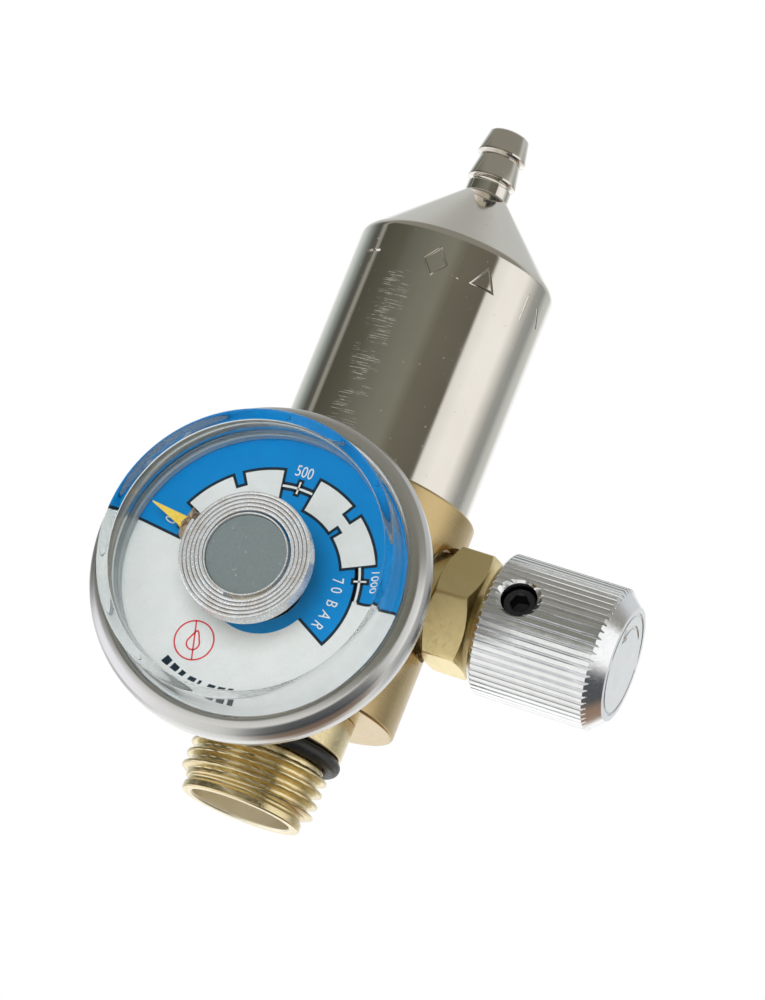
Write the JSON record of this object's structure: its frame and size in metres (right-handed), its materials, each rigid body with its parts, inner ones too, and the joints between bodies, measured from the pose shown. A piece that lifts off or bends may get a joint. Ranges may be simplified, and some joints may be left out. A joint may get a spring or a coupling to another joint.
{
  "type": "gas pressure regulator",
  "caption": "Fixed-flow pressure regulator with round body, tapered bonnet, hose barb, dial gauge, side on/off knob and threaded inlet.",
  "frame": {"origin": "on the main axis, in the plane of the shoulder that the inlet O-ring seals against", "axes": "+Z along the main axis from the inlet thread to the hose barb; the gauge faces -Y; the knob points to +X"},
  "size_m": [0.054, 0.0455, 0.0854],
  "materials": {
    "yellow_brass": "machined",
    "turned_brass": "fine turned satin",
    "nickel_plate": "satin nickel plate",
    "stainless_steel": "satin",
    "spring_steel": "drawn wire",
    "black_steel": "black oxide",
    "knob_aluminium": "bright knurled",
    "black_rubber": "matte",
    "white_polymer": "matte",
    "sintered_bronze": "porous",
    "clear_plastic": "clear polycarbonate",
    "dial_print": "printed blue and white",
    "grey_paint": "satin grey",
    "coil_metal": "polished strip",
    "pointer_paint": "matte yellow"
  },
  "bodies": {
    "regulator_body": {"inlet_nipple": "yellow_brass", "inlet_oring": "black_rubber", "filter_retaining_ring": "spring_steel", "depressor_pin": "yellow_brass", "inlet_filter": "sintered_bronze", "valve_body": "turned_brass", "seat_nozzle": "yellow_brass", "piston_stem_oring": "black_rubber", "bonnet_oring": "black_rubber", "piston_spring": "spring_steel", "bonnet": "nickel_plate", "flow_orifice": "yellow_brass", "hose_barb": "nickel_plate", "gauge_socket": "yellow_brass", "gauge_case": "stainless_steel", "case_nut": "yellow_brass", "gauge_dial": "dial_print", "lens_gasket": "black_rubber", "gauge_lens": "clear_plastic", "gauge_bezel": "stainless_steel", "bourdon_coil": "coil_metal", "coil_cap": "grey_paint", "gland_washer": "stainless_steel", "gland_nut": "yellow_brass", "gland_backup_ring": "white_polymer", "gland_oring": "black_rubber"},
    "pressure_piston": {"piston": "yellow_brass", "piston_seat_pad": "white_polymer", "piston_oring": "black_rubber"},
    "valve_pad": {"valve_pad": "white_polymer"},
    "knob_and_stem": {"knob": "knob_aluminium", "valve_stem": "yellow_brass", "knob_set_screw": "black_steel"},
    "pointer": {"gauge_pointer": "pointer_paint"}
  },
  "joints": [
    {"name": "piston_slide", "type": "slide", "parent": "regulator_body", "child": "pressure_piston", "axis": [0, 0, 1], "range_m": [-0.00045, 0], "stiffness_N_per_m": 4000, "springref_m": 0.004, "deforming": ["piston_spring"]},
    {"name": "stem_travel", "type": "slide", "parent": "regulator_body", "child": "valve_pad", "axis": [1, 0, 0], "range_m": [0, 0.0014]},
    {"name": "knob_turn", "type": "hinge", "parent": "valve_pad", "child": "knob_and_stem", "pos_m": [0.027, 0, 0.02024], "axis": [1, 0, 0], "range_deg": [0, 720]},
    {"name": "pointer_turn", "type": "hinge", "parent": "regulator_body", "child": "pointer", "pos_m": [0, -0.025, 0.01187], "axis": [0, 1, 0], "range_deg": [0, 155], "stiffness_Nm_per_rad": 0.001, "springref_deg": -5.73}
  ],
  "couplings": [
    {"joint": "knob_turn", "follows": "stem_travel", "rad_per_m": 8975.9}
  ]
}
